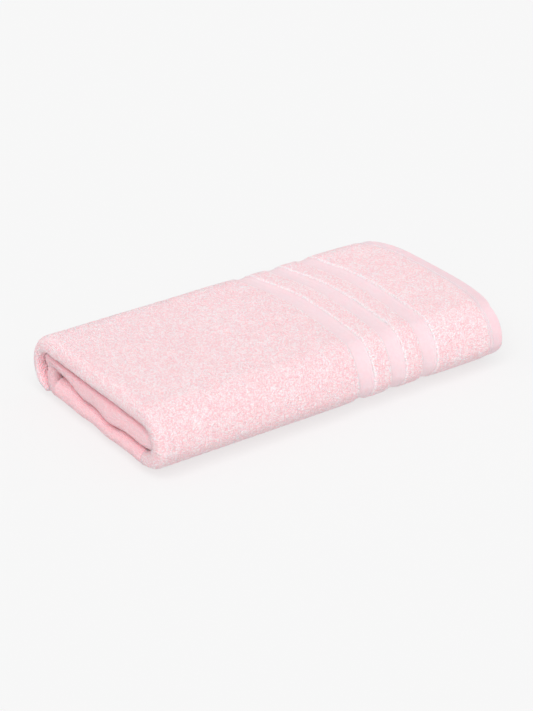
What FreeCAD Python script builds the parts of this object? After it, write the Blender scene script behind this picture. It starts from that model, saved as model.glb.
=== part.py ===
"""Bath towel of terry cloth, folded into a flat pack.

The cloth is folded in half twice along its length, which gives four sheets, and the four
sheets are then folded in three across their width. Three bodies of cloth follow from that:

  base   the four sheets lying on the shelf, round the far fold and back again underneath
  turn   the near fold, where the four sheets rise and turn back over the pack
  flap   the four sheets on top, which drape a little over the far fold

Sheet 1 is the outermost and shows the hem and the woven bands; sheet 2 carries the hem and
bands of the towel's other end; sheets 3 and 4 are the middle of the towel. Frame: the X axis
runs along the pack, from the folded end to the hemmed end, +Y points away from the near fold
and +Z up. The origin is the centre of the pack's footprint.
"""
import FreeCAD, Part
import os

from FreeCAD import Placement, Rotation, Vector

SHEETS_IN_STACK = 4

# name, millimetres or degrees, what it sets
DIMENSIONS = [
    ("pack_length", 350, "folded end to hemmed end"),
    ("pack_width", 204, "near fold to draped side"),
    ("sheet_pitch", 5.1, "one sheet of terry, pile included"),
    ("fold_gap", 0.6, "between the base's lower and upper pass"),
    ("flap_gap", 0.4, "between the base and the flap"),
    ("drape_gap", 1.8, "between the far fold and the drape over it"),
    ("hem_width", 15, "turned and sewn hem"),
    ("end_width", 51.5, "terry between the hem and the last band"),
    ("band_width", 17, "woven band"),
    ("strip_width", 16.5, "terry between two bands"),
    ("pile_height", 1.2, "how far the pile stands above bands and hems"),
    ("side_hem_width", 7.5, "side hem on the long edges"),
    ("side_hem_thickness", 2.6, "side hem, turned and sewn"),
    ("outer_drape", 105, "angle that sheets 1 and 2 turn over the far fold"),
    ("third_drape", 66, "angle that sheet 3 turns"),
    ("fourth_drape", 36, "angle that sheet 4 turns"),
    ("side_hem_sweep", 14, "angle that the side hem adds to each drape"),
    ("thread_width", 1.0, "row of hem stitches, across"),
    ("thread_height", 0.5, "row of hem stitches, above the hem"),
    ("stitch_inset", 3.0, "from the hem's inner edge to the stitches"),
]

doc = FreeCAD.newDocument("BathTowel")
sheet = doc.addObject("Spreadsheet::Sheet", "Dims")
for row, (alias, value, meaning) in enumerate(DIMENSIONS, start=1):
    sheet.set(f"A{row}", meaning)
    sheet.set(f"B{row}", str(value))
    sheet.setAlias(f"B{row}", alias)
doc.recompute()

PITCH = "Dims.sheet_pitch"
PILE = "Dims.pile_height"

# Heights and centres of the folds
STACK = f"({SHEETS_IN_STACK} * {PITCH})"
NEAR_RADIUS = f"((3 * {STACK} + Dims.fold_gap + Dims.flap_gap) / 2)"
FAR_RADIUS = f"({STACK} + Dims.fold_gap / 2)"
NEAR_Y = f"({NEAR_RADIUS} - Dims.pack_width / 2)"
DRAPE_Y = f"(-{NEAR_Y})"
DRAPE_ROOM = f"({NEAR_RADIUS} - 2 * {PITCH})"
FAR_DROP = f"({NEAR_RADIUS} - {FAR_RADIUS})"
FAR_REACH = f"({DRAPE_Y} + sqrt({DRAPE_ROOM} * {DRAPE_ROOM} - {FAR_DROP} * {FAR_DROP}) - Dims.drape_gap)"
FAR_Y = f"({FAR_REACH} - {FAR_RADIUS})"

# Places along the pack
HEM_END = "(Dims.pack_length / 2)"
FOLD_X = f"(-Dims.pack_length / 2 + 2 * {PITCH})"
HALF_FOLD_X = f"({HEM_END} - {PITCH})"
HEM_START = f"({HEM_END} - Dims.hem_width)"
BAND_3_END = f"({HEM_START} - Dims.end_width)"
BAND_PERIOD = "(Dims.band_width + Dims.strip_width)"

# Directions in which a round piece starts, sweeps and points its axis
TURN_NEAR = Rotation(Vector(0, 0, 1), Vector(0, -1, 0), Vector(1, 0, 0), "XYZ")
TURN_FAR = Rotation(Vector(0, 0, -1), Vector(0, 1, 0), Vector(1, 0, 0), "XYZ")
TURN_DRAPE = Rotation(Vector(0, 0, 1), Vector(0, 1, 0), Vector(-1, 0, 0), "XYZ")
ROUND_FOLDED_END = Rotation(Vector(0, 0, -1), Vector(-1, 0, 0), Vector(0, 1, 0), "XYZ")
ROUND_HEMMED_END = Rotation(Vector(0, 0, 1), Vector(1, 0, 0), Vector(0, 1, 0), "XYZ")
FLAT = Rotation()
FULL_SWEEP = "180"

parts = []


def add(kind, name, place, rotation, sizes):
    """A primitive with its corner or centre and its sizes bound to the sheet."""
    item = doc.addObject(kind, name)
    item.Placement = Placement(Vector(0, 0, 0), rotation)
    for axis, text in zip("xyz", place):
        item.setExpression(f"Placement.Base.{axis}", text)
    for size, text in sizes.items():
        item.setExpression(size, text)
    return item


def block(name, start, end):
    """A box between two corners."""
    spans = [f"({high}) - ({low})" for low, high in zip(start, end)]
    return add("Part::Box", name, start, FLAT, dict(zip(("Length", "Width", "Height"), spans)))


def cut(name, base, tool):
    item = doc.addObject("Part::Cut", name)
    item.Base = base
    item.Tool = tool
    return item


def ring(name, place, rotation, length, outer, inner, sweep):
    """A swept arc of a tube: outer radius less inner radius, and no bore where inner is None."""
    whole = add("Part::Cylinder", name, place, rotation,
                {"Radius": outer, "Height": length, "Angle": sweep})
    if inner is None:
        return whole
    bore = add("Part::Cylinder", name + "_bore", place, rotation,
               {"Radius": inner, "Height": length, "Angle": sweep})
    return cut(name + "_ring", whole, bore)


def curled_ring(name, place, rotation, path_radius, outer, inner, sweep, end_side):
    """Half a tube bent round a fold: the half on the side where the sheets turn back."""
    whole = add("Part::Torus", name, place, rotation,
                {"Radius1": path_radius, "Radius2": outer, "Angle3": sweep})
    if inner is not None:
        bore = add("Part::Torus", name + "_bore", place, rotation,
                   {"Radius1": path_radius, "Radius2": inner, "Angle3": sweep})
        whole = cut(name + "_ring", whole, bore)
    x, y, z = place
    reach = f"({path_radius} + {outer})"
    low = (x if end_side < 0 else f"{x} - {reach}", f"{y} - {reach}", f"{z} - {reach}")
    high = (f"{x} + {reach}" if end_side < 0 else x, f"{y} + {reach}", f"{z} + {reach}")
    return cut(name + "_half", whole, block(name + "_other_half", low, high))


def finish(label, pieces):
    """Join a sub-part's pieces and give it its own name."""
    if len(pieces) == 1:
        item = pieces[0]
    else:
        item = doc.addObject("Part::MultiFuse", label + "_join")
        item.Shapes = pieces
        item.Refine = True
    item.Label = label
    parts.append(item)


def depth(sheet_number, lowered=False):
    """How far a sheet's two faces lie inside the outer face of its stack."""
    outer = f"({sheet_number - 1} * {PITCH}" + (f" + {PILE})" if lowered else ")")
    return outer, f"({sheet_number} * {PITCH})"


def drape(sheet_number):
    return {1: "Dims.outer_drape", 2: "Dims.outer_drape", 3: "Dims.third_drape",
            4: "Dims.fourth_drape"}[sheet_number]


def free_edge(sheet_number):
    """Where the base's upper pass ends, before its side hem: inside the near fold."""
    return NEAR_Y if sheet_number in (2, 3) else f"({NEAR_Y} + Dims.side_hem_width)"


def base_ribbon(name, x0, x1, outer, inner, upper_end):
    """Lower pass, far fold and upper pass between two depths."""
    length = f"({x1}) - ({x0})"
    lower = block(name + "_lower", (x0, NEAR_Y, outer), (x1, FAR_Y, inner))
    bend = ring(name + "_bend", (x0, FAR_Y, FAR_RADIUS), TURN_FAR, length,
                f"{FAR_RADIUS} - {outer}", f"{FAR_RADIUS} - {inner}", FULL_SWEEP)
    upper = block(name + "_upper", (x0, upper_end, f"2 * {FAR_RADIUS} - {inner}"),
                  (x1, FAR_Y, f"2 * {FAR_RADIUS} - {outer}"))
    return [lower, bend, upper]


def turn_ribbon(name, x0, x1, outer, inner):
    return [ring(name + "_bend", (x0, NEAR_Y, NEAR_RADIUS), TURN_NEAR, f"({x1}) - ({x0})",
                 f"{NEAR_RADIUS} - {outer}", f"{NEAR_RADIUS} - {inner}", FULL_SWEEP)]


def flap_ribbon(name, x0, x1, outer, inner, sweep):
    top = block(name + "_top", (x0, NEAR_Y, f"2 * {NEAR_RADIUS} - {inner}"),
                (x1, DRAPE_Y, f"2 * {NEAR_RADIUS} - {outer}"))
    bend = ring(name + "_drape", (x1, DRAPE_Y, NEAR_RADIUS), TURN_DRAPE, f"({x1}) - ({x0})",
                f"{NEAR_RADIUS} - {outer}", f"{NEAR_RADIUS} - {inner}", sweep)
    return [top, bend]


def cloth(label, sheet_number, spans, lowered=False):
    """One stretch of a sheet, or several like ones, in the base, the turn and the flap."""
    outer, inner = depth(sheet_number, lowered)
    pieces = {"base": [], "turn": [], "flap": []}
    for count, (x0, x1) in enumerate(spans, start=1):
        stem = f"{label}_{count}"
        pieces["base"] += base_ribbon(f"base_{stem}", x0, x1, outer, inner, free_edge(sheet_number))
        pieces["turn"] += turn_ribbon(f"turn_{stem}", x0, x1, outer, inner)
        pieces["flap"] += flap_ribbon(f"flap_{stem}", x0, x1, outer, inner, drape(sheet_number))
    for body, items in pieces.items():
        finish(f"{body}_{label}", items)


def rounded_end(label, x, centre_depth, outer, inner, side, sweep, upper_end):
    """Sheets turning back at one end of the pack, carried along the base, turn and flap."""
    straight = ROUND_FOLDED_END if side < 0 else ROUND_HEMMED_END
    mid_far = f"({FAR_RADIUS} - {centre_depth})"
    mid_near = f"({NEAR_RADIUS} - {centre_depth})"

    def run(name, y0, y1, z):
        return ring(name, (x, y0, z), straight, f"({y1}) - ({y0})", outer, inner, FULL_SWEEP)

    def bend(name, y, z, rotation, path_radius, angle):
        return curled_ring(name, (x, y, z), rotation, path_radius, outer, inner, angle, side)

    finish(f"base_{label}", [
        run(f"base_{label}_lower", NEAR_Y, FAR_Y, centre_depth),
        bend(f"base_{label}_bend", FAR_Y, FAR_RADIUS, TURN_FAR, mid_far, FULL_SWEEP),
        run(f"base_{label}_upper", upper_end, FAR_Y, f"2 * {FAR_RADIUS} - {centre_depth}")])
    finish(f"turn_{label}", [
        bend(f"turn_{label}_bend", NEAR_Y, NEAR_RADIUS, TURN_NEAR, mid_near, FULL_SWEEP)])
    finish(f"flap_{label}", [
        run(f"flap_{label}_top", NEAR_Y, DRAPE_Y, f"2 * {NEAR_RADIUS} - {centre_depth}"),
        bend(f"flap_{label}_drape", DRAPE_Y, NEAR_RADIUS, TURN_DRAPE, mid_near, sweep)])


def side_hem_depth(sheet_number):
    """The two faces of a side hem, centred in its sheet."""
    middle = f"({sheet_number - 0.5} * {PITCH})"
    return f"({middle} - Dims.side_hem_thickness / 2)", f"({middle} + Dims.side_hem_thickness / 2)"


def side_hems():
    """The sewn long edges: inside the near fold, and along the bottom of the drape."""
    inside, draped = [], []
    for number in range(1, SHEETS_IN_STACK + 1):
        outer, inner = side_hem_depth(number)
        edge = free_edge(number)
        inside.append(block(f"side_hem_inside_{number}",
                            (FOLD_X, f"{edge} - Dims.side_hem_width", f"2 * {FAR_RADIUS} - {inner}"),
                            (HALF_FOLD_X, edge, f"2 * {FAR_RADIUS} - {outer}")))
        whole = ring(f"side_hem_drape_{number}", (HALF_FOLD_X, DRAPE_Y, NEAR_RADIUS), TURN_DRAPE,
                     f"{HALF_FOLD_X} - {FOLD_X}", f"{NEAR_RADIUS} - {outer}",
                     f"{NEAR_RADIUS} - {inner}", f"{drape(number)} + Dims.side_hem_sweep")
        covered = add("Part::Cylinder", f"side_hem_covered_{number}",
                      (HALF_FOLD_X, DRAPE_Y, NEAR_RADIUS), TURN_DRAPE,
                      {"Radius": NEAR_RADIUS, "Height": f"{HALF_FOLD_X} - {FOLD_X}",
                       "Angle": drape(number)})
        draped.append(cut(f"side_hem_edge_{number}", whole, covered))
    finish("base_side_hem", inside)
    finish("flap_side_hem", draped)


def hem_stitches():
    """A row of thread on the hem of sheet 1, sunk below the pile."""
    x0 = f"({HEM_START} + Dims.stitch_inset)"
    x1 = f"({x0} + Dims.thread_width)"
    outer = f"({PILE} - Dims.thread_height)"
    lower = block("base_thread_lower", (x0, NEAR_Y, outer), (x1, FAR_Y, PILE))
    finish("base_hem_stitches", [lower])
    finish("turn_hem_stitches", turn_ribbon("turn_thread", x0, x1, outer, PILE))
    finish("flap_hem_stitches",
           flap_ribbon("flap_thread", x0, x1, outer, PILE, "Dims.outer_drape"))


def band_span(number):
    """The two edges of woven band 1, 2 or 3, counted from the folded end."""
    x1 = f"({BAND_3_END} - {3 - number} * {BAND_PERIOD})"
    return f"({x1} - Dims.band_width)", x1


bands = [band_span(number) for number in (1, 2, 3)]
terry = {"field": (FOLD_X, bands[0][0]), "strip_1": (bands[0][1], bands[1][0]),
         "strip_2": (bands[1][1], bands[2][0]), "end": (bands[2][1], HEM_START)}

for name, span in terry.items():
    cloth(f"terry_{name}", 1, [span])
for number, span in enumerate(bands, start=1):
    cloth(f"band_{number}", 1, [span], lowered=True)
cloth("hem", 1, [(HEM_START, HEM_END)], lowered=True)

cloth("second_terry", 2, list(terry.values()))
cloth("second_bands", 2, bands, lowered=True)
cloth("second_hem", 2, [(HEM_START, HEM_END)], lowered=True)

cloth("third_sheet", 3, [(FOLD_X, HALF_FOLD_X)])
cloth("fourth_sheet", 4, [(FOLD_X, HALF_FOLD_X)])
side_hems()
hem_stitches()

TWO_SHEETS = f"(2 * {PITCH})"
THREE_SHEETS = f"(3 * {PITCH})"
INNER_EDGE = f"({NEAR_Y} - Dims.side_hem_width)"
rounded_end("outer_fold", FOLD_X, TWO_SHEETS, TWO_SHEETS, PITCH, -1, "Dims.fourth_drape", NEAR_Y)
rounded_end("inner_fold", FOLD_X, TWO_SHEETS, PITCH, None, -1, "Dims.third_drape", INNER_EDGE)
rounded_end("half_fold", HALF_FOLD_X, THREE_SHEETS, PITCH, None, 1, "Dims.fourth_drape", NEAR_Y)

doc.recompute()

failed = [item.Name for item in doc.Objects if {"Invalid", "Error"} & set(item.State)]
if failed:
    raise RuntimeError("objects failed to build: " + ", ".join(failed))
for item in parts:
    if item.Shape.isNull() or not item.Shape.isValid() or not item.Shape.Solids:
        raise RuntimeError(item.Label + " has no valid solid")

os.makedirs("parts", exist_ok=True)
for item in parts:
    item.Shape.exportStep(os.path.join("parts", item.Label + ".step"))
    box = item.Shape.BoundBox
    print(f"{item.Label:24s} solids {len(item.Shape.Solids)}  volume {item.Shape.Volume:10.0f} mm3  "
          f"z {box.ZMin:6.2f} to {box.ZMax:6.2f}")
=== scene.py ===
import math
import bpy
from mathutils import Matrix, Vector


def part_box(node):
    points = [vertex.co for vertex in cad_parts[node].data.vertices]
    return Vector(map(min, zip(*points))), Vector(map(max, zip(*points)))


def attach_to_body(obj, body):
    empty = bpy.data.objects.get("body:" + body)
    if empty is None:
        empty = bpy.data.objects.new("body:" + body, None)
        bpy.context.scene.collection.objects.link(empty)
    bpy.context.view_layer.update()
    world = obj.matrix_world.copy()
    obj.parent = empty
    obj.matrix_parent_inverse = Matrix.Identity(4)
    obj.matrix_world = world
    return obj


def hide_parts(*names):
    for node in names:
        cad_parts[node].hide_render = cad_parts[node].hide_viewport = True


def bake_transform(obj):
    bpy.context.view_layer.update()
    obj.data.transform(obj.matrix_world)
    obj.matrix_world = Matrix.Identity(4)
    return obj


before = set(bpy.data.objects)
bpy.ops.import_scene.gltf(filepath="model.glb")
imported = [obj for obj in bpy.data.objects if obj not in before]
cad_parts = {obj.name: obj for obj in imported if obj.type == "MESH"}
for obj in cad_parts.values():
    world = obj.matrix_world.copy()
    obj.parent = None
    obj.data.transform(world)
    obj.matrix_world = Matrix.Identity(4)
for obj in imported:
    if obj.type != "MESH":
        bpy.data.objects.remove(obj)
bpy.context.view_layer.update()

from types import SimpleNamespace

import bpy
import numpy as np
from mathutils import Vector

bl_info = {
    "name": "Folded Terry Towel",
    "version": (1, 0, 0),
    "blender": (4, 5, 0),
    "location": "View3D > Sidebar > Towel",
    "description": "Builds a folded bath towel of terry cloth with woven bands and a sewn hem",
    "category": "Object",
}

MM = 0.001
PACK = "folded_pack"
FLAP = "top_flap"


# Sizes that come from the frame

def measure():
    """Radii, fold lines and places along the towel, read from the boxes of the frame's nodes."""
    turn_low, turn_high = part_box("turn_terry_field")
    base_low, base_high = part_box("base_terry_field")
    spans = {}
    for part in ("terry_field", "terry_strip_1", "terry_strip_2", "terry_end",
                 "band_1", "band_2", "band_3", "hem"):
        low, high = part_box("turn_" + part)
        spans[part] = (low[0], high[0])
    near = turn_high[2] / 2
    far = base_high[2] / 2
    return SimpleNamespace(
        near=near, near_y=turn_high[1], drape_y=-turn_high[1],
        far=far, far_y=base_high[1] - far, edge_y=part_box("base_side_hem")[0][1],
        pitch=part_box("turn_second_terry")[0][2], recess=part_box("turn_band_1")[0][2],
        fold_x=spans["terry_field"][0], half_x=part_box("turn_half_fold")[0][0],
        right=spans["hem"][1], spans=spans)


SIZE = measure()


# Values a user would change

class TowelSizes(bpy.types.PropertyGroup):
    fine: bpy.props.FloatProperty(
        name="Fine grid", description="Spacing of the mesh on the pile that shows",
        default=1.0 * MM, unit="LENGTH")
    coarse: bpy.props.FloatProperty(
        name="Coarse grid", description="Spacing of the mesh on hidden sheets",
        default=4.0 * MM, unit="LENGTH")
    loop_size: bpy.props.FloatProperty(
        name="Loop size", description="Distance from one loop of the pile to the next",
        default=1.7 * MM, unit="LENGTH")
    pile_depth: bpy.props.FloatProperty(
        name="Pile depth", description="Unevenness of the pile's surface",
        default=1.05 * MM, unit="LENGTH")
    drape: bpy.props.FloatProperty(
        name="Drape", description="Angle that the outer sheets turn over the far fold",
        default=math.radians(105), subtype="ANGLE")
    third_drape: bpy.props.FloatProperty(
        name="Third sheet drape", description="Angle that the third sheet turns",
        default=math.radians(80), subtype="ANGLE")
    fourth_drape: bpy.props.FloatProperty(
        name="Fourth sheet drape", description="Angle that the fourth sheet turns",
        default=math.radians(60), subtype="ANGLE")
    side_hem: bpy.props.FloatProperty(
        name="Side hem", description="Width of the hem on the long edges",
        default=7.5 * MM, unit="LENGTH")
    stitch: bpy.props.FloatProperty(
        name="Stitch", description="Length of one stitch of the hem",
        default=3.2 * MM, unit="LENGTH")


class TowelColours(bpy.types.PropertyGroup):
    pile_light: bpy.props.FloatVectorProperty(
        name="Pile tips", description="Colour of the loops' tips", subtype="COLOR",
        size=3, min=0, max=1, default=(0.950, 0.825, 0.845))
    # Painted shade: the colour the pile takes in the hollows between its loops.
    pile_hollow_shade: bpy.props.FloatVectorProperty(
        name="Pile depths", description="Colour between the loops", subtype="COLOR",
        size=3, min=0, max=1, default=(0.920, 0.560, 0.600))
    # Painted shade: the colour the pile takes deep in the creases and on the folded end.
    crease_shade: bpy.props.FloatVectorProperty(
        name="Creases", description="Colour of the pile deep in the creases", subtype="COLOR",
        size=3, min=0, max=1, default=(0.950, 0.480, 0.530))
    band: bpy.props.FloatVectorProperty(
        name="Bands", description="Colour of the woven bands", subtype="COLOR",
        size=3, min=0, max=1, default=(0.870, 0.665, 0.700))
    hem: bpy.props.FloatVectorProperty(
        name="Hems", description="Colour of the hems", subtype="COLOR",
        size=3, min=0, max=1, default=(0.845, 0.640, 0.680))
    thread: bpy.props.FloatVectorProperty(
        name="Thread", description="Colour of the sewing thread", subtype="COLOR",
        size=3, min=0, max=1, default=(0.930, 0.770, 0.800))
    floor: bpy.props.FloatVectorProperty(
        name="Floor", description="Colour of the floor", subtype="COLOR",
        size=3, min=0, max=1, default=(0.24, 0.24, 0.24))


def sizes():
    return bpy.context.scene.towel_sizes


def colours():
    return bpy.context.scene.towel_colours


# Surfaces

def smooth(low, high, value):
    """Smoothstep: 0 at low, 1 at high, 3t^2 - 2t^3 between. With low above high it falls."""
    t = np.clip((value - low) / (high - low), 0, 1)
    return t * t * (3 - 2 * t)


def bell(value, centre, width):
    """exp(-((value - centre) / width)^2)."""
    return np.exp(-((value - centre) / width) ** 2)


LATTICE = 256
RANDOM = np.random.default_rng(7).random((LATTICE, LATTICE))


def noise(u, v, size, shift=0):
    """Value noise, 0 to 1: random values on a lattice of that size, with smooth steps between."""
    a, b = u / size + 17.3 * shift, v / size + 5.9 * shift
    i, j = np.floor(a).astype(int), np.floor(b).astype(int)
    f, g = a - i, b - j
    f, g = f * f * (3 - 2 * f), g * g * (3 - 2 * g)

    def at(di, dj):
        return RANDOM[(i + di) % LATTICE, (j + dj) % LATTICE]

    return ((at(0, 0) * (1 - f) + at(1, 0) * f) * (1 - g)
            + (at(0, 1) * (1 - f) + at(1, 1) * f) * g)


def line(y0, y1, z, angle):
    return SimpleNamespace(kind="line", y0=y0, y1=y1, z=z, angle=angle, length=abs(y1 - y0))


def arc(y, z, radius, start, stop):
    return SimpleNamespace(kind="arc", y=y, z=z, radius=radius, start=start, stop=stop,
                           length=radius * abs(stop - start))


def flap_lane(drape):
    """Outer face of the near fold, the top and the drape, as a path across the pack."""
    return [arc(SIZE.near_y, SIZE.near, SIZE.near, -math.pi, 0),
            line(SIZE.near_y, SIZE.drape_y, 2 * SIZE.near, 0),
            arc(SIZE.drape_y, SIZE.near, SIZE.near, 0, drape)]


def base_lane(edge_y):
    """Outer face of the upper pass, the far fold and the lower pass."""
    return [line(edge_y, SIZE.far_y, 2 * SIZE.far, 0),
            arc(SIZE.far_y, SIZE.far, SIZE.far, 0, math.pi),
            line(SIZE.far_y, SIZE.near_y, 0, math.pi)]


def walk(lane, distance):
    """Points along a lane: y, z and the angle of its outward normal from +Z towards +Y.
    On a line y runs evenly; on an arc the point is the centre plus radius times (sin, cos)."""
    y, z, angle = np.zeros_like(distance), np.zeros_like(distance), np.zeros_like(distance)
    start = 0.0
    for step in lane:
        t = np.clip((distance - start) / step.length, 0, 1)
        here = (distance >= start - 1e-9)
        if step.kind == "line":
            py, pz, pa = step.y0 + (step.y1 - step.y0) * t, step.z + 0 * t, step.angle + 0 * t
        else:
            pa = step.start + (step.stop - step.start) * t
            py, pz = step.y + step.radius * np.sin(pa), step.z + step.radius * np.cos(pa)
        y, z, angle = np.where(here, py, y), np.where(here, pz, z), np.where(here, pa, angle)
        start += step.length
    return y, z, angle


def lane_steps(lane, spacing):
    """Distances along a lane, evenly spaced."""
    total = sum(step.length for step in lane)
    return np.linspace(0, total, max(int(round(total / spacing)), 8) + 1)


BOW = 6 * MM            # how far the bands bow towards the hemmed end
BOW_PEAK = 5 * MM       # the place across the pack where they bow most
HEM_REACH = 12.3 * MM   # how far the middle of the hemmed end reaches out
HEM_DROP = 3.4 * MM     # how far the near part of the hem sinks
FAR_HEM_DROP = 0.8 * MM
CROWN = 0.4 * MM
FRONT_LIFT = 2.6 * MM   # how far the near fold rounds up off the floor
END_LIFT = 6 * MM       # how far the folded end rounds up off the floor
UNDERCUT = 4.8 * MM     # how far the near fold turns in under itself


def reach_out(x, y):
    """Shift along the towel. In the bands it is a parabola round the bow's peak, and at the
    hemmed end a higher power of y, each flatter at the near side and cut off below."""
    near_bow = BOW - 8.5 * MM * ((y - BOW_PEAK) / (95 * MM)) ** 2
    far_bow = BOW - 13 * MM * ((y - BOW_PEAK) / (75 * MM)) ** 2
    bow = np.maximum(np.where(y < BOW_PEAK, near_bow, far_bow), -3.5 * MM)
    near_end = np.maximum(HEM_REACH - 10 * MM * np.abs(y / (82 * MM)) ** 3, 1.8 * MM)
    far_end = np.maximum(HEM_REACH - 13.5 * MM * np.abs(y / (75 * MM)) ** 3.5, -3 * MM)
    end = np.where(y < 0, near_end, far_end)
    at_end = smooth(105 * MM, 165 * MM, x)
    return smooth(-90 * MM, 25 * MM, x) * ((1 - at_end) * bow + at_end * end)


def settle(x, y, z):
    """How the soft pack lies: it reaches out towards the hemmed end, the top sinks by a
    parabola across and a smooth step at the hem, and the near fold and the folded end round
    off above the floor in straight ramps of z."""
    height = z / (2 * SIZE.near)
    crown = CROWN * (y / (80 * MM)) ** 2 + 1.3 * MM * noise(x, y, 55 * MM, 3)
    drop = HEM_DROP - (HEM_DROP - FAR_HEM_DROP) * smooth(20 * MM, 75 * MM, y)
    sink = (crown + drop * smooth(150 * MM, 180 * MM, x)) * height ** 2
    front = smooth(-60 * MM, -86 * MM, y)
    end = smooth(-148 * MM, -172 * MM, x)
    lift = np.maximum(FRONT_LIFT * np.clip(1 - z / SIZE.near, 0, 1) * front,
                      END_LIFT * np.clip(1 - z / (13 * MM), 0, 1) * end)
    tuck = front * (UNDERCUT * np.clip(1 - z / (26 * MM), 0, 1) - 1.0 * MM * bell(z, 20 * MM, 8 * MM))
    waver = 1.2 * MM * height * (noise(x, z, 60 * MM, 5) - 0.5)
    y2 = y + tuck
    return x + reach_out(x, y), y2 + waver * np.sign(y), z - sink + lift


END_START, END_FULL = -130 * MM, -168 * MM  # where the folded end's own shape begins and is full


def settle_folded_end(x, y, z, distance, pull):
    """The folded end of the base. Its crease wanders in a bell and two sines of y, a hollow
    opens at the far side as a bell, and the free edges of the upper pass reach into the near
    fold by an ellipse of z."""
    joined = np.where(z < SIZE.far, smooth(SIZE.near_y, SIZE.near_y + 20 * MM, y), 1)
    folded = smooth(-125 * MM, END_FULL, x) * joined
    wander = (7.5 * MM * bell(y, 62 * MM, 26 * MM) + 1.6 * MM * np.sin(y / (15 * MM))
              + 1.0 * MM * np.sin(y / (6.3 * MM) + 1))
    middle = np.clip(z / SIZE.far, 0, 2)
    z2 = z + wander * folded * (1 - (middle - 1) ** 2)
    hollow = 4 * MM * bell(y, 66 * MM, 18 * MM) * bell(z2, 28 * MM, 6 * MM)
    back = (1.2 * MM * bell(z, 31 * MM, 9 * MM) + 1.5 * MM * noise(y, z, 24 * MM, 9)
            + 1.6 * MM * smooth(70 * MM, 86 * MM, y))
    cavity = np.sqrt(np.clip(1 - ((z - SIZE.near) / (10.6 * MM)) ** 2, 0, 1))
    reach = joined * smooth(-145 * MM, END_FULL, x)
    y2 = y - pull * reach * cavity * smooth(45 * MM, 0, distance)
    return x + folded * (hollow + back), y2, z2


def stacked(side, x, angle, depth):
    """Depth inside the outer face where the stack bends. The stack thins over the drape, and
    at the far fold by the sine of the angle, where it also swells out in two bells to fill the
    drape. At the folded end it thins and swells less, so that the far fold has no open core."""
    if side == "top":
        return depth * (1 - 0.55 * smooth(0, math.radians(70), angle))
    end = smooth(END_START, END_FULL, x)
    swell = 9.3 * MM * bell(angle, math.radians(50), math.radians(24))
    swell = swell + 6.5 * MM * (1 - end) * bell(angle, math.radians(117), math.radians(20))
    swell = swell * (1 - 0.7 * end * depth / (4 * SIZE.pitch))
    thinned = depth * (1 - (0.5 - 0.3 * end) * np.sin(angle))
    return thinned - swell * smooth(0, math.radians(20), angle)


DRAPE_TURN = math.radians(58)  # how much lower the drape reaches at the folded end


def place(side, lane, x, depth, distance, pull):
    """Cloth coordinates to space: a point lies depth inside the lane's outer face. At the
    folded end the drape turns on round its centre and reaches lower."""
    y, z, angle = walk(lane, distance)
    depth = stacked(side, x, angle, depth)
    y, z = y - depth * np.sin(angle), z - depth * np.cos(angle)
    if side == "top":
        turn = DRAPE_TURN * smooth(-118 * MM, -166 * MM, x) * smooth(0, math.radians(105), angle)
        dy, dz = y - SIZE.drape_y, z - SIZE.near
        y = SIZE.drape_y + dy * np.cos(turn) + dz * np.sin(turn)
        z = SIZE.near + dz * np.cos(turn) - dy * np.sin(turn)
    else:
        x, y, z = settle_folded_end(x, y, z, distance, pull)
    x, y, z = settle(x, y, z)
    return np.stack([x, y, z], axis=-1)


# Sections: closed outlines across the cloth, as x and depth

def spaced(start, stop, spacing):
    return np.linspace(start, stop, max(int(round(abs(stop - start) / spacing)), 2) + 1)


def run_along(x, depth):
    """Length along an outline, from its first point."""
    return np.concatenate([[0], np.cumsum(np.hypot(np.diff(x), np.diff(depth)))])


def rounded_edge(inset, rounding):
    """Drop of a quarter circle at an edge, and how much the cloth there is outer face, from the
    distance to the edge."""
    share = np.clip(inset / rounding, 0, 1)
    return rounding * (1 - np.sqrt(1 - (1 - share) ** 2)), np.maximum(share, 0.15)


def strip_section(x0, x1, top, bottom, spacing, hidden_spacing, rounding):
    """A flat strip: its outer face at depth top, its inner face at depth bottom, and outer edges
    rounded to a quarter circle. Returns x, depth, how much it is outer face, and the x run."""
    face = spaced(x0, x1, spacing)
    drop, share = rounded_edge(np.minimum(face - x0, x1 - face), rounding)
    back = spaced(x1, x0, hidden_spacing)
    x = np.concatenate([face, back])
    depth = np.concatenate([top + drop, np.full(len(back), bottom)])
    outer = np.concatenate([share, np.zeros(len(back))])
    return x, depth, outer, x.copy()


SQUARE = 0.6  # power of the sine that makes the folded end's half circle squarer


def wrapped_section(x1, rounding, spacing, hidden_spacing):
    """Sheet 1 from x1 to the folded end, round the fold and a little way under: the outline
    runs along the outer face, round a squared half circle of two pitches, and back one pitch
    inside. The squared half circle is (sin t)^0.6 across and cos t down."""
    pitch, fold = SIZE.pitch, SIZE.fold_x
    radius = 2 * pitch
    tail = fold + 6 * MM
    face = spaced(x1, fold, spacing)
    drop, share = rounded_edge(x1 - face, rounding)
    turn = np.linspace(0, math.pi, int(math.pi * radius / spacing) + 1)[1:-1]
    under = spaced(fold, tail, spacing)
    x = [face, fold - radius * np.sin(turn) ** SQUARE, under]
    depth = [drop, radius - radius * np.cos(turn), np.full(len(under), 2 * radius)]
    outer = [share, np.ones(len(turn)), np.ones(len(under))]
    inner_turn = np.linspace(math.pi, 0, 9)
    inner = radius - 0.96 * pitch
    x += [np.array([tail]), fold - inner * np.sin(inner_turn).clip(0) ** SQUARE,
          spaced(fold, x1, hidden_spacing)[1:]]
    depth += [np.array([radius + inner]), radius - inner * np.cos(inner_turn)]
    depth += [np.full(len(x[-1]), radius - inner)]
    outer += [np.zeros(len(part)) for part in x[3:]]
    x, depth, outer = np.concatenate(x), np.concatenate(depth), np.concatenate(outer)
    return x, depth, outer, x1 - run_along(x, depth)


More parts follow.
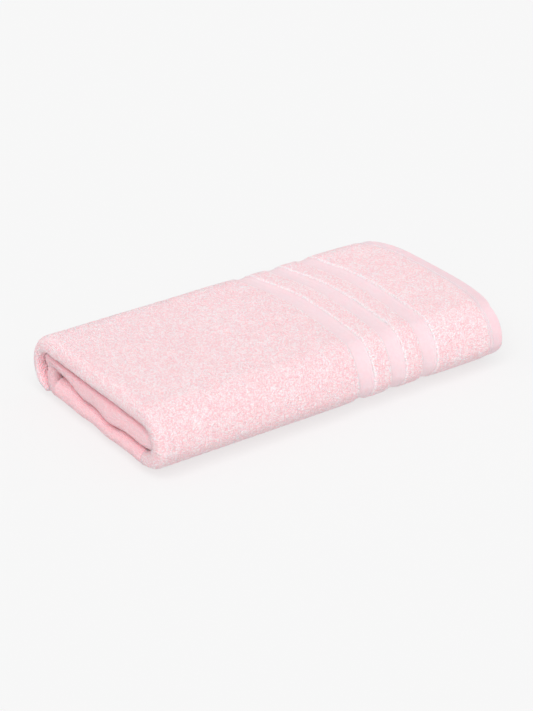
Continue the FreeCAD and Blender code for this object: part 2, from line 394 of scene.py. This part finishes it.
def round_section(x0, x1, top, bottom, spacing, at_right):
    """A slab whose one end is a half circle as high as the slab is thick."""
    radius = (bottom - top) / 2
    turn = np.linspace(0, math.pi, 11)[1:-1]
    sign = 1 if at_right else -1
    centre, flat = (x1, x0) if at_right else (x0, x1)
    face, back = spaced(flat, centre, spacing), spaced(centre, flat, spacing)
    x = np.concatenate([face, centre + sign * radius * np.sin(turn), back])
    depth = np.concatenate([np.full(len(face), top), top + radius - radius * np.cos(turn),
                            np.full(len(back), bottom)])
    return x, depth, np.ones(len(x)), run_along(x, depth)


def outward(x, depth):
    """Unit normals of a closed outline in the x-depth plane, pointing out of it."""
    tx, td = np.roll(x, -1) - np.roll(x, 1), np.roll(depth, -1) - np.roll(depth, 1)
    length = np.maximum(np.hypot(tx, td), 1e-9)
    nx, nd = td / length, -tx / length
    area = np.sum(x * np.roll(depth, -1) - np.roll(x, -1) * depth)
    return (nx, nd) if area > 0 else (-nx, -nd)


def pile_height(run, distance, outer):
    """Unevenness of the pile, 0 at the tips and 1 at the deepest: noise at the size of single
    loops, of clumps and of hand marks, and the loops' rows across the cloth."""
    loops = noise(run, distance, 1.15 * MM, 1)
    clumps = noise(run, distance, 2.6 * MM, 2)
    marks = noise(run, distance, 13 * MM, 4)
    rows = 0.5 + 0.5 * np.cos(2 * math.pi * (run / (2.3 * MM) + 1.6 * clumps))
    return (0.56 * loops + 0.22 * clumps + 0.08 * marks + 0.14 * rows) * outer


def build(name, side, lane, section, spacing, pile=0.0, pull=0.0, rounded=2 * MM, relief=None,
          crease_shade=None):
    """Carries a closed section along a lane. Each point moves inwards by the pile's height, the
    section shrinks towards the lane's ends in a quarter ellipse, relief(x, distance) adds
    height to the outer face and raises the pile attribute for a painted highlight on cords, and
    crease_shade(x, depth) lowers it for painted shade where the cloth turns into a crease."""
    x, depth, outer, run = section
    distance = lane_steps(lane, spacing)
    grid_x, grid_q = np.meshgrid(x, distance, indexing="ij")
    grid_d = np.repeat(depth[:, None], len(distance), 1)
    grid_o = np.repeat(outer[:, None], len(distance), 1)
    grid_r = np.repeat(run[:, None], len(distance), 1)
    nx, nd = outward(x, depth)
    height = pile_height(grid_r, grid_q, grid_o)
    near_edge = np.clip(1 - np.minimum(grid_q, distance[-1] - grid_q) / rounded, 0, 1)
    shrink = height * pile + 0.6 * rounded * (1 - np.sqrt(1 - near_edge ** 2))
    grid_x = grid_x - nx[:, None] * shrink
    grid_d = grid_d - nd[:, None] * shrink
    tips = 1 - height
    # Painted highlight: raised relief lifts the pile attribute, which the woven finishes turn into the
    # thread's colour along the cords.
    if relief is not None:
        raised = relief(grid_x, grid_q) * grid_o
        grid_d = grid_d - raised
        tips = tips + np.clip(raised, 0, None) / MM
    # Painted shade: the crease mask lowers the pile attribute, which the terry finish turns into the
    # crease shade colour.
    if crease_shade is not None:
        tips = tips - crease_shade(grid_x, grid_d)
    points = place(side, lane, grid_x, grid_d, grid_q, pull)
    return mesh_piece(name, points, grid_r, grid_q, tips)


def mesh_piece(name, points, run, distance, tips):
    """A mesh from a grid that closes on itself the first way, with both ends capped. Carries the
    cloth's own coordinates in metres as a UV map, and the pile's height, with painted highlight and shade
    added, as an attribute."""
    m, n = points.shape[:2]
    index = np.arange(m * n).reshape(m, n)
    nxt = np.roll(index, -1, axis=0)
    quads = np.stack([index[:, :-1], nxt[:, :-1], nxt[:, 1:], index[:, 1:]], axis=-1).reshape(-1, 4)
    caps = [index[::-1, 0], index[:, -1]]
    corner, a, b, c = (points.reshape(-1, 3)[quads[:, k]] for k in range(4))
    volume = np.sum(np.cross(corner, a) * b) + np.sum(np.cross(corner, b) * c)
    if volume < 0:
        quads = quads[:, ::-1]
        caps = [cap[::-1] for cap in caps]
    loops = np.concatenate([quads.ravel()] + caps).astype(np.int32)
    counts = np.concatenate([np.full(len(quads), 4), [m, m]])
    starts = np.concatenate([[0], np.cumsum(counts)[:-1]]).astype(np.int32)
    mesh = bpy.data.meshes.new(name)
    mesh.vertices.add(m * n)
    mesh.vertices.foreach_set("co", points.reshape(-1).astype(np.float32))
    mesh.loops.add(len(loops))
    mesh.loops.foreach_set("vertex_index", loops)
    mesh.polygons.add(len(counts))
    mesh.polygons.foreach_set("loop_start", starts)
    mesh.polygons.foreach_set("loop_total", counts.astype(np.int32))
    flat = np.ones(len(counts), dtype=bool)
    flat[-2:] = False
    mesh.polygons.foreach_set("use_smooth", flat)
    cloth = mesh.uv_layers.new(name="cloth")
    uv = np.stack([run.reshape(-1)[loops], distance.reshape(-1)[loops]], axis=-1)
    cloth.data.foreach_set("uv", uv.reshape(-1).astype(np.float32))
    level = mesh.attributes.new("pile", "FLOAT", "POINT")
    level.data.foreach_set("value", tips.reshape(-1).astype(np.float32))
    mesh.update()
    mesh.validate()
    piece = bpy.data.objects.new(name, mesh)
    bpy.context.scene.collection.objects.link(piece)
    return piece


# Riding and replacing


def follow_flap(piece):
    """Bakes the piece's transform into its mesh."""
    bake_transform(piece)


def attach(piece, side):
    """The top has its transform baked into its mesh, the base rides the pack."""
    if side == "top":
        follow_flap(piece)
    else:
        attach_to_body(piece, PACK)


def own(piece, finish, nodes):
    """Gives a piece its finish and hides the frame's nodes that it stands for."""
    piece.data.materials.append(finish)
    if nodes:
        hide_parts(*nodes)


# Materials

def new_group(name, inputs, outputs):
    group = bpy.data.node_groups.new(name, "ShaderNodeTree")
    for label, kind, value in inputs:
        socket = group.interface.new_socket(label, in_out="INPUT", socket_type=kind)
        if value is not None:
            socket.default_value = value
    for label, kind in outputs:
        group.interface.new_socket(label, in_out="OUTPUT", socket_type=kind)
    return group, group.nodes.new("NodeGroupInput"), group.nodes.new("NodeGroupOutput")


def node(tree, kind, links=(), **settings):
    """A node with its settings, and its inputs set from values or linked from sockets."""
    item = tree.nodes.new(kind)
    for key, value in settings.items():
        setattr(item, key, value)
    for key, value in dict(links).items():
        if isinstance(value, bpy.types.NodeSocket):
            tree.links.new(value, item.inputs[key])
        else:
            item.inputs[key].default_value = value
    return item


PILE_BUMP = 1.1 * MM
WEAVE_BUMP = 0.18 * MM


def loop_group():
    """Terry loops: cells of uneven size whose middles stand up, broken by a finer curl."""
    group, given, out = new_group(
        "terry loops",
        [("Cloth", "NodeSocketVector", None), ("Loop Size", "NodeSocketFloat", 0.0017)],
        [("Height", "NodeSocketFloat"), ("Tip", "NodeSocketFloat")])
    scale = node(group, "ShaderNodeMath", {0: 1.0, 1: given.outputs["Loop Size"]},
                 operation="DIVIDE").outputs[0]
    unit = node(group, "ShaderNodeVectorMath",
                {0: given.outputs["Cloth"], "Scale": scale}, operation="SCALE").outputs[0]
    bend = node(group, "ShaderNodeTexNoise", {"Vector": unit, "Scale": 0.7, "Detail": 2.0})
    moved = node(group, "ShaderNodeVectorMath", {0: unit, 1: bend.outputs["Color"]},
                 operation="ADD").outputs[0]
    cells = node(group, "ShaderNodeTexVoronoi", {"Vector": moved, "Scale": 1.0, "Randomness": 0.9},
                 voronoi_dimensions="2D", feature="F1")
    curl = node(group, "ShaderNodeTexNoise", {"Vector": unit, "Scale": 2.6, "Detail": 3.0})
    high = node(group, "ShaderNodeMath", {0: 1.0, 1: cells.outputs["Distance"]},
                operation="SUBTRACT").outputs[0]
    height = node(group, "ShaderNodeMath", {0: curl.outputs[0], 1: 0.5, 2: high},
                  operation="MULTIPLY_ADD").outputs[0]
    tip = node(group, "ShaderNodeMapRange", {0: height, 1: 0.55, 2: 1.15, 3: 0.0, 4: 1.0})
    group.links.new(height, out.inputs["Height"])
    group.links.new(tip.outputs[0], out.inputs["Tip"])
    return group


def weave_group():
    """A close flat weave: fine ribs one way crossed by finer ones, with a little slub."""
    group, given, out = new_group(
        "flat weave",
        [("Cloth", "NodeSocketVector", None), ("Rib", "NodeSocketFloat", 0.0007)],
        [("Height", "NodeSocketFloat"), ("Shade", "NodeSocketFloat")])
    scale = node(group, "ShaderNodeMath", {0: 1.0, 1: given.outputs["Rib"]},
                 operation="DIVIDE").outputs[0]
    unit = node(group, "ShaderNodeVectorMath",
                {0: given.outputs["Cloth"], "Scale": scale}, operation="SCALE").outputs[0]
    ribs = node(group, "ShaderNodeTexWave", {"Vector": unit, "Scale": 0.32, "Distortion": 0.6},
                bands_direction="X")
    weft = node(group, "ShaderNodeTexWave", {"Vector": unit, "Scale": 0.22, "Distortion": 0.6},
                bands_direction="Y")
    slub = node(group, "ShaderNodeTexNoise", {"Vector": unit, "Scale": 0.25, "Detail": 3.0})
    both = node(group, "ShaderNodeMath", {0: ribs.outputs[1], 1: weft.outputs[1]},
                operation="MULTIPLY").outputs[0]
    height = node(group, "ShaderNodeMath", {0: slub.outputs[0], 1: 0.8, 2: both},
                  operation="MULTIPLY_ADD").outputs[0]
    group.links.new(height, out.inputs["Height"])
    group.links.new(slub.outputs[0], out.inputs["Shade"])
    return group


def shared(name, maker):
    return bpy.data.node_groups.get(name) or maker()


def cloth_material(name, roughness, sheen):
    """A new material with its shader, its bump and the cloth's own coordinates."""
    material = bpy.data.materials.new(name)
    material.use_nodes = True
    tree = material.node_tree
    shader = tree.nodes["Principled BSDF"]
    shader.inputs["Roughness"].default_value = roughness
    shader.inputs["Sheen Weight"].default_value = sheen
    shader.inputs["Sheen Roughness"].default_value = 0.45
    shader.inputs["Sheen Tint"].default_value = (1.0, 0.88, 0.90, 1.0)
    shader.inputs["Specular IOR Level"].default_value = 0.15
    shader.inputs["Subsurface Weight"].default_value = 0.5
    shader.inputs["Subsurface Radius"].default_value = (1.0, 0.4, 0.45)
    shader.inputs["Subsurface Scale"].default_value = 4 * MM
    cloth = node(tree, "ShaderNodeUVMap", uv_map="cloth").outputs[0]
    bump = node(tree, "ShaderNodeBump", {"Strength": 1.0})
    tree.links.new(bump.outputs[0], shader.inputs["Normal"])
    return material, tree, shader, bump, cloth


def terry_material():
    """Looped pile with painted shade: the depths between loops darker than the tips, by the mesh's own
    height and by each loop, and a redder painted shade in the creases.
    """
    material, tree, shader, bump, cloth = cloth_material("terry pile", 0.95, 0.35)
    loops = node(tree, "ShaderNodeGroup", node_tree=shared("terry loops", loop_group))
    tree.links.new(cloth, loops.inputs["Cloth"])
    loops.inputs["Loop Size"].default_value = sizes().loop_size
    pile = node(tree, "ShaderNodeAttribute", attribute_name="pile").outputs["Fac"]
    # Painted shade in the pile's hollows: where the mesh and each loop sit low the colour goes to the pile
    # hollow shade, where they stand high to the tips' colour.
    tall = node(tree, "ShaderNodeMapRange", {0: pile, 1: 0.25, 2: 0.75, 3: -0.35, 4: 0.40}).outputs[0]
    light = node(tree, "ShaderNodeMath", {0: loops.outputs["Tip"], 1: 0.75, 2: tall},
                 operation="MULTIPLY_ADD", use_clamp=True).outputs[0]
    blend = node(tree, "ShaderNodeMix", {0: light, 6: (*colours().pile_hollow_shade, 1),
                                         7: (*colours().pile_light, 1)}, data_type="RGBA")
    # Painted shade in the creases and on the folded end: where the crease mask has pushed the pile
    # attribute below 0.1, the colour goes towards the crease shade.
    fold = node(tree, "ShaderNodeMapRange", {0: pile, 1: 0.1, 2: -1.2, 3: 0.0, 4: 1.0}).outputs[0]
    crease_shaded_colour = node(tree, "ShaderNodeMix", {0: fold, 6: blend.outputs[2],
                                        7: (*colours().crease_shade, 1)}, data_type="RGBA")
    tree.links.new(crease_shaded_colour.outputs[2], shader.inputs["Base Color"])
    tree.links.new(loops.outputs["Height"], bump.inputs["Height"])
    bump.inputs["Distance"].default_value = PILE_BUMP
    return material


def woven_material(name, colour, rib, roughness, sheen):
    """Flat weave with fine ribs, a little slub in its colour, and a painted highlight along raised cords.
    """
    material, tree, shader, bump, cloth = cloth_material(name, roughness, sheen)
    weave = node(tree, "ShaderNodeGroup", node_tree=shared("flat weave", weave_group))
    tree.links.new(cloth, weave.inputs["Cloth"])
    weave.inputs["Rib"].default_value = rib
    darker = (0.95 * colour[0], 0.88 * colour[1], 0.89 * colour[2], 1)
    blend = node(tree, "ShaderNodeMix", {0: weave.outputs["Shade"], 6: darker,
                                         7: (*colour, 1)}, data_type="RGBA")
    pile = node(tree, "ShaderNodeAttribute", attribute_name="pile").outputs["Fac"]
    # Painted highlight along the raised cords, drawn in the thread's colour where the pile attribute is
    # raised.
    ridge_highlight = node(tree, "ShaderNodeMapRange", {0: pile, 1: 1.15, 2: 2.2, 3: 0.0, 4: 0.4}).outputs[0]
    highlighted_colour = node(tree, "ShaderNodeMix", {0: ridge_highlight, 6: blend.outputs[2],
                                         7: (*colours().thread, 1)}, data_type="RGBA")
    tree.links.new(highlighted_colour.outputs[2], shader.inputs["Base Color"])
    tree.links.new(weave.outputs["Height"], bump.inputs["Height"])
    bump.inputs["Distance"].default_value = WEAVE_BUMP
    return material


def material(name):
    """The finish of that name, made once."""
    makers = {
        "terry pile": terry_material,
        "woven band": lambda: woven_material("woven band", colours().band, 0.8 * MM, 0.8, 0.25),
        "hem cloth": lambda: woven_material("hem cloth", colours().hem, 0.7 * MM, 0.85, 0.25),
        "hem thread": lambda: woven_material("hem thread", colours().thread, 0.4 * MM, 0.7, 0.2),
    }
    return bpy.data.materials.get(name) or makers[name]()


# Pieces

BODIES = {"top": ("flap", "turn"), "base": ("base",)}
STRIPS = ("terry_strip_1", "terry_strip_2", "terry_end")
BANDS = ("band_1", "band_2", "band_3")


def names(side, *parts):
    return [f"{body}_{part}" for body in BODIES[side] for part in parts]


def outer_lane(side):
    if side == "top":
        return flap_lane(sizes().drape)
    return base_lane(SIZE.edge_y + 2 * sizes().side_hem)


def settle_in(piece, side):
    attach(piece, side)


def band_sink(x, distance):
    """The cloth sinks a little round each woven band, as a bell round its middle."""
    total = np.zeros_like(x)
    for band in BANDS:
        low, high = SIZE.spans[band]
        total = total - 0.7 * MM * bell(x, (low + high) / 2, 11 * MM)
    return total


OVERHANG = 0.9 * MM     # how far the pile leans over a band
EDGE_ROUND = 1.7 * MM   # rounding of the pile where it meets a band
TUCK = 2.5 * MM         # how far a band runs under the pile on either side
STRIP_PILE = 0.42       # pile of the strips between the bands, as a share of the field's
FIELD_PULL = 24 * MM    # how far sheet 1 reaches past its side hem at the folded end
INNER_PULL = 10.5 * MM  # how far the inner sheets reach there


def make_field(side):
    low, high = SIZE.spans["terry_field"]
    lane = outer_lane(side)
    spacing = sizes().fine
    section = wrapped_section(high + OVERHANG, EDGE_ROUND, spacing, 8 * MM)

    # Painted shade on the folded end: past the fold line the base's pile takes some crease shade all over,
    # and both sides take most where the wrap turns into the creases above and below it.
    def crease_shade(x, depth):
        share = depth / (4 * SIZE.pitch)
        under = smooth(0.78, 1.02, share)
        over = smooth(0.28, 0, share) if side == "base" else 0
        end = 0.65 if side == "base" else 0
        return smooth(low + 2 * MM, low - 2 * MM, x) * (end + 0.9 * np.maximum(under, over))

    piece = build(f"pile_field_{side}", side, lane, section, spacing, sizes().pile_depth,
                  pull=FIELD_PULL, relief=band_sink, crease_shade=crease_shade)
    own(piece, material("terry pile"), names(side, "terry_field", "outer_fold"))
    settle_in(piece, side)


def make_strip(side, part):
    low, high = SIZE.spans[part]
    lane = outer_lane(side)
    spacing = sizes().fine
    section = strip_section(low - OVERHANG, high + OVERHANG, 0, 0.97 * SIZE.pitch, spacing,
                            6 * MM, EDGE_ROUND)
    piece = build(f"pile_{part[6:]}_{side}", side, lane, section, spacing, STRIP_PILE * sizes().pile_depth,
                  relief=band_sink)
    own(piece, material("terry pile"), names(side, part))
    settle_in(piece, side)


def make_band(side, part):
    """A woven band, lower than the pile, with a raised cord along its edge to the hem."""
    low, high = SIZE.spans[part]
    lane = outer_lane(side)
    section = strip_section(low - TUCK, high + TUCK, SIZE.recess + 0.5 * MM,
                            0.9 * SIZE.pitch, 0.5 * MM, 6 * MM, 0.4 * MM)
    cord = high - 1.7 * MM

    def relief(x, distance):
        return (band_sink(x, distance) + 0.65 * MM * bell(x, cord, 0.8 * MM)
                + 0.4 * MM * bell(x, cord - 2.3 * MM, 0.6 * MM))

    piece = build(f"{part}_{side}", side, lane, section, 1.4 * MM, 0.2 * MM, relief=relief)
    own(piece, material("woven band"), names(side, part))
    settle_in(piece, side)


def make_hem(side):
    """The doubled hem, a cord where the pile ends and a row of stitches."""
    low, high = SIZE.spans["hem"]
    lane = outer_lane(side)
    section = strip_section(low - 3 * MM, high, SIZE.recess, 0.92 * SIZE.pitch,
                            0.6 * MM, 4 * MM, 1.5 * MM)

    def relief(x, distance):
        pucker = 0.12 * MM * np.sin(2 * math.pi * distance / sizes().stitch)
        return (0.8 * MM * bell(x, low + 1.8 * MM, 0.8 * MM)
                + (pucker - 0.25 * MM) * bell(x, low + 3.5 * MM, 1.4 * MM))

    piece = build(f"hem_{side}", side, lane, section, 1.1 * MM, 0.2 * MM, relief=relief)
    own(piece, material("hem cloth"), names(side, "hem"))
    settle_in(piece, side)

    section = strip_section(low + 3.0 * MM, low + 4.0 * MM, SIZE.recess - 0.25 * MM,
                            SIZE.recess + 0.9 * MM, 0.25 * MM, 1 * MM, 0.4 * MM)

    def stitches(x, distance):
        return 0.35 * MM * (np.abs(np.sin(math.pi * distance / sizes().stitch)) - 0.5)

    piece = build(f"hem_stitches_{side}", side, lane, section, 0.5 * MM, 0.0,
                  rounded=0.8 * MM, relief=stitches)
    own(piece, material("hem thread"), names(side, "hem_stitches"))
    attach(piece, side)


def sheet_drape(sheet):
    return {1: sizes().drape, 2: sizes().drape, 3: sizes().third_drape,
            4: sizes().fourth_drape}[sheet]


def inner_lane(side, sheet):
    if side == "top":
        return flap_lane(sheet_drape(sheet))
    return base_lane(SIZE.edge_y + sizes().side_hem * (1 if sheet in (2, 3) else 2))


def make_inner(side):
    """Sheets 2 to 4: the hidden middle of the towel, its inner fold and its half fold."""
    pitch = SIZE.pitch
    spacing = sizes().coarse
    low, high = SIZE.fold_x, SIZE.spans["hem"][0]

    lane = inner_lane(side, 2)
    section = strip_section(low, high, pitch, 1.96 * pitch, spacing, spacing, 1 * MM)
    piece = build(f"second_sheet_{side}", side, lane, section, spacing, 0.2 * MM, INNER_PULL)
    own(piece, material("terry pile"), names(side, "second_terry", "second_bands"))
    settle_in(piece, side)

    section = strip_section(high, SIZE.right, pitch + SIZE.recess, 1.92 * pitch, 0.8 * MM, 4 * MM,
                            1.2 * MM)
    piece = build(f"second_hem_{side}", side, lane, section, 2 * MM, 0.2 * MM)
    own(piece, material("hem cloth"), names(side, "second_hem"))
    settle_in(piece, side)

    lane = inner_lane(side, 3)
    section = round_section(low, SIZE.half_x, 2.02 * pitch, 2.96 * pitch, spacing, False)
    piece = build(f"third_sheet_{side}", side, lane, section, spacing, 0.2 * MM, INNER_PULL)
    own(piece, material("terry pile"), names(side, "third_sheet", "inner_fold"))
    settle_in(piece, side)

    lane = inner_lane(side, 4)
    x, depth, outer, run = round_section(low, SIZE.half_x, 2.04 * pitch, 4 * pitch, 2.0 * MM, True)
    depth = np.where(x < SIZE.half_x, np.maximum(depth, 3.02 * pitch), depth)
    piece = build(f"fourth_sheet_{side}", side, lane, (x, depth, outer, run), 2.0 * MM, 0.5 * MM,
                  INNER_PULL)
    own(piece, material("terry pile"), names(side, "fourth_sheet", "half_fold"))
    settle_in(piece, side)


def make_side_hems(side):
    """The sewn long edges, beyond each sheet's pile."""
    width = sizes().side_hem
    for sheet in (1, 2, 3, 4):
        middle = (sheet - 0.5) * SIZE.pitch
        section = strip_section(SIZE.fold_x, SIZE.half_x, middle - 1.3 * MM, middle + 1.3 * MM,
                                3 * MM, 3 * MM, 0.6 * MM)
        if side == "top":
            start = sheet_drape(sheet) - math.radians(5)
            lane = [arc(SIZE.drape_y, SIZE.near, SIZE.near, start, start + math.radians(19))]
        else:
            edge = SIZE.edge_y + (0 if sheet in (2, 3) else width)
            lane = [line(edge, edge + width + 2.5 * MM, 2 * SIZE.far, 0)]
        piece = build(f"side_hem_{sheet}_{side}", side, lane, section, 0.8 * MM, 0.1 * MM,
                      2.5 * MM, rounded=2.1 * MM)
        nodes = []
        if sheet == 1:
            nodes = ["flap_side_hem" if side == "top" else "base_side_hem"]
        own(piece, material("hem cloth"), nodes)
        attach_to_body(piece, FLAP if side == "top" else PACK)


# Operators

class TOWEL_OT_field(bpy.types.Operator):
    """Adds the terry from the folded end to the first band, on the top and in the base"""
    bl_idname = "towel.field"
    bl_label = "Add Terry Field"

    def execute(self, context):
        for side in BODIES:
            make_field(side)
        return {"FINISHED"}


class TOWEL_OT_strips(bpy.types.Operator):
    """Adds the terry between the bands and beside the hem"""
    bl_idname = "towel.strips"
    bl_label = "Add Terry Strips"

    def execute(self, context):
        for side in BODIES:
            for part in STRIPS:
                make_strip(side, part)
        return {"FINISHED"}


class TOWEL_OT_bands(bpy.types.Operator):
    """Adds the three woven bands"""
    bl_idname = "towel.bands"
    bl_label = "Add Woven Bands"

    def execute(self, context):
        for side in BODIES:
            for part in BANDS:
                make_band(side, part)
        return {"FINISHED"}


class TOWEL_OT_side_hems(bpy.types.Operator):
    """Adds the narrow hems on the long edges, before the sheets that they belong to"""
    bl_idname = "towel.side_hems"
    bl_label = "Add Side Hems"

    def execute(self, context):
        for side in BODIES:
            make_side_hems(side)
        return {"FINISHED"}


class TOWEL_OT_hem(bpy.types.Operator):
    """Adds the wide sewn hem at the towel's end"""
    bl_idname = "towel.hem"
    bl_label = "Add Hem"

    def execute(self, context):
        for side in BODIES:
            make_hem(side)
        return {"FINISHED"}


class TOWEL_OT_inner(bpy.types.Operator):
    """Adds the inner sheets of the folded towel"""
    bl_idname = "towel.inner"
    bl_label = "Add Inner Sheets"

    def execute(self, context):
        for side in BODIES:
            make_inner(side)
        return {"FINISHED"}


class TOWEL_OT_stage(bpy.types.Operator):
    """Adds the floor, the soft studio light and the camera"""
    bl_idname = "towel.stage"
    bl_label = "Add Stage"

    def execute(self, context):
        make_floor()
        make_light()
        make_camera()
        return {"FINISHED"}


FLOOR_HALF = 8.0
FLOOR_GLOW = 0.646
SURROUND = 0.62
SUN_POWER = 2.4
SUN_SPREAD = math.radians(50)
SUN_FROM = Vector((-0.60, -0.80, 1.14))


def make_floor():
    """A pale floor with a soft glow of its own, far larger than the view."""
    half = FLOOR_HALF
    mesh = bpy.data.meshes.new("floor")
    mesh.from_pydata([(-half, -half, 0), (half, -half, 0), (half, half, 0), (-half, half, 0)], [],
                     [(0, 1, 2, 3)])
    floor = bpy.data.objects.new("floor", mesh)
    bpy.context.scene.collection.objects.link(floor)
    finish = bpy.data.materials.new("floor")
    finish.use_nodes = True
    shader = finish.node_tree.nodes["Principled BSDF"]
    shader.inputs["Base Color"].default_value = (*colours().floor, 1)
    shader.inputs["Roughness"].default_value = 0.9
    shader.inputs["Specular IOR Level"].default_value = 0.0
    shader.inputs["Emission Color"].default_value = (1.0, 1.0, 1.0, 1.0)
    shader.inputs["Emission Strength"].default_value = FLOOR_GLOW
    mesh.materials.append(finish)


def make_light():
    """An even pale surround and one very soft sun over the camera's shoulder."""
    scene = bpy.context.scene
    world = bpy.data.worlds.new("studio")
    world.use_nodes = True
    background = world.node_tree.nodes["Background"]
    background.inputs["Color"].default_value = (1.0, 1.0, 1.0, 1.0)
    background.inputs["Strength"].default_value = SURROUND
    scene.world = world
    sun = bpy.data.lights.new("soft sun", "SUN")
    sun.energy = SUN_POWER
    sun.angle = SUN_SPREAD
    lamp = bpy.data.objects.new("soft sun", sun)
    lamp.rotation_euler = SUN_FROM.to_track_quat("Z", "Y").to_euler()
    scene.collection.objects.link(lamp)
    scene.view_settings.view_transform = "Standard"


CAMERA_AZIMUTH = math.radians(-35.07)
CAMERA_ELEVATION = math.radians(27.38)
CAMERA_DISTANCE = 1.9056
CAMERA_TARGET = Vector((0.0252, 0.0389, 0.0))


def make_camera():
    """A long lens that looks down at the folded end and the near fold."""
    camera = bpy.data.cameras.new("camera")
    camera.sensor_width = 36
    camera.lens = 109.3
    camera.clip_start = 0.05
    camera.clip_end = 50
    back = Vector((math.sin(CAMERA_AZIMUTH) * math.cos(CAMERA_ELEVATION),
                   -math.cos(CAMERA_AZIMUTH) * math.cos(CAMERA_ELEVATION),
                   math.sin(CAMERA_ELEVATION)))
    item = bpy.data.objects.new("camera", camera)
    item.location = CAMERA_TARGET + back * CAMERA_DISTANCE
    item.rotation_euler = (-back).to_track_quat("-Z", "Y").to_euler()
    bpy.context.scene.collection.objects.link(item)
    bpy.context.scene.camera = item


class TOWEL_PT_panel(bpy.types.Panel):
    """Lists the towel's pieces and the values that shape them"""
    bl_idname = "TOWEL_PT_panel"
    bl_label = "Folded Towel"
    bl_space_type = "VIEW_3D"
    bl_region_type = "UI"
    bl_category = "Towel"

    def draw(self, context):
        for group in (context.scene.towel_sizes, context.scene.towel_colours):
            for key in group.__annotations__:
                self.layout.prop(group, key)
        for step in STEPS:
            self.layout.operator(step.bl_idname)


STEPS = (TOWEL_OT_side_hems, TOWEL_OT_field, TOWEL_OT_strips, TOWEL_OT_bands, TOWEL_OT_hem,
         TOWEL_OT_inner, TOWEL_OT_stage)
CLASSES = (TowelSizes, TowelColours) + STEPS + (TOWEL_PT_panel,)


def register():
    for item in CLASSES:
        bpy.utils.register_class(item)
    bpy.types.Scene.towel_sizes = bpy.props.PointerProperty(type=TowelSizes)
    bpy.types.Scene.towel_colours = bpy.props.PointerProperty(type=TowelColours)


def unregister():
    del bpy.types.Scene.towel_sizes
    del bpy.types.Scene.towel_colours
    for item in reversed(CLASSES):
        bpy.utils.unregister_class(item)


def main():
    register()
    bpy.ops.towel.side_hems()
    bpy.ops.towel.field()
    bpy.ops.towel.strips()
    bpy.ops.towel.bands()
    bpy.ops.towel.hem()
    bpy.ops.towel.inner()
    bpy.ops.towel.stage()


if __name__ == "__main__":
    main()
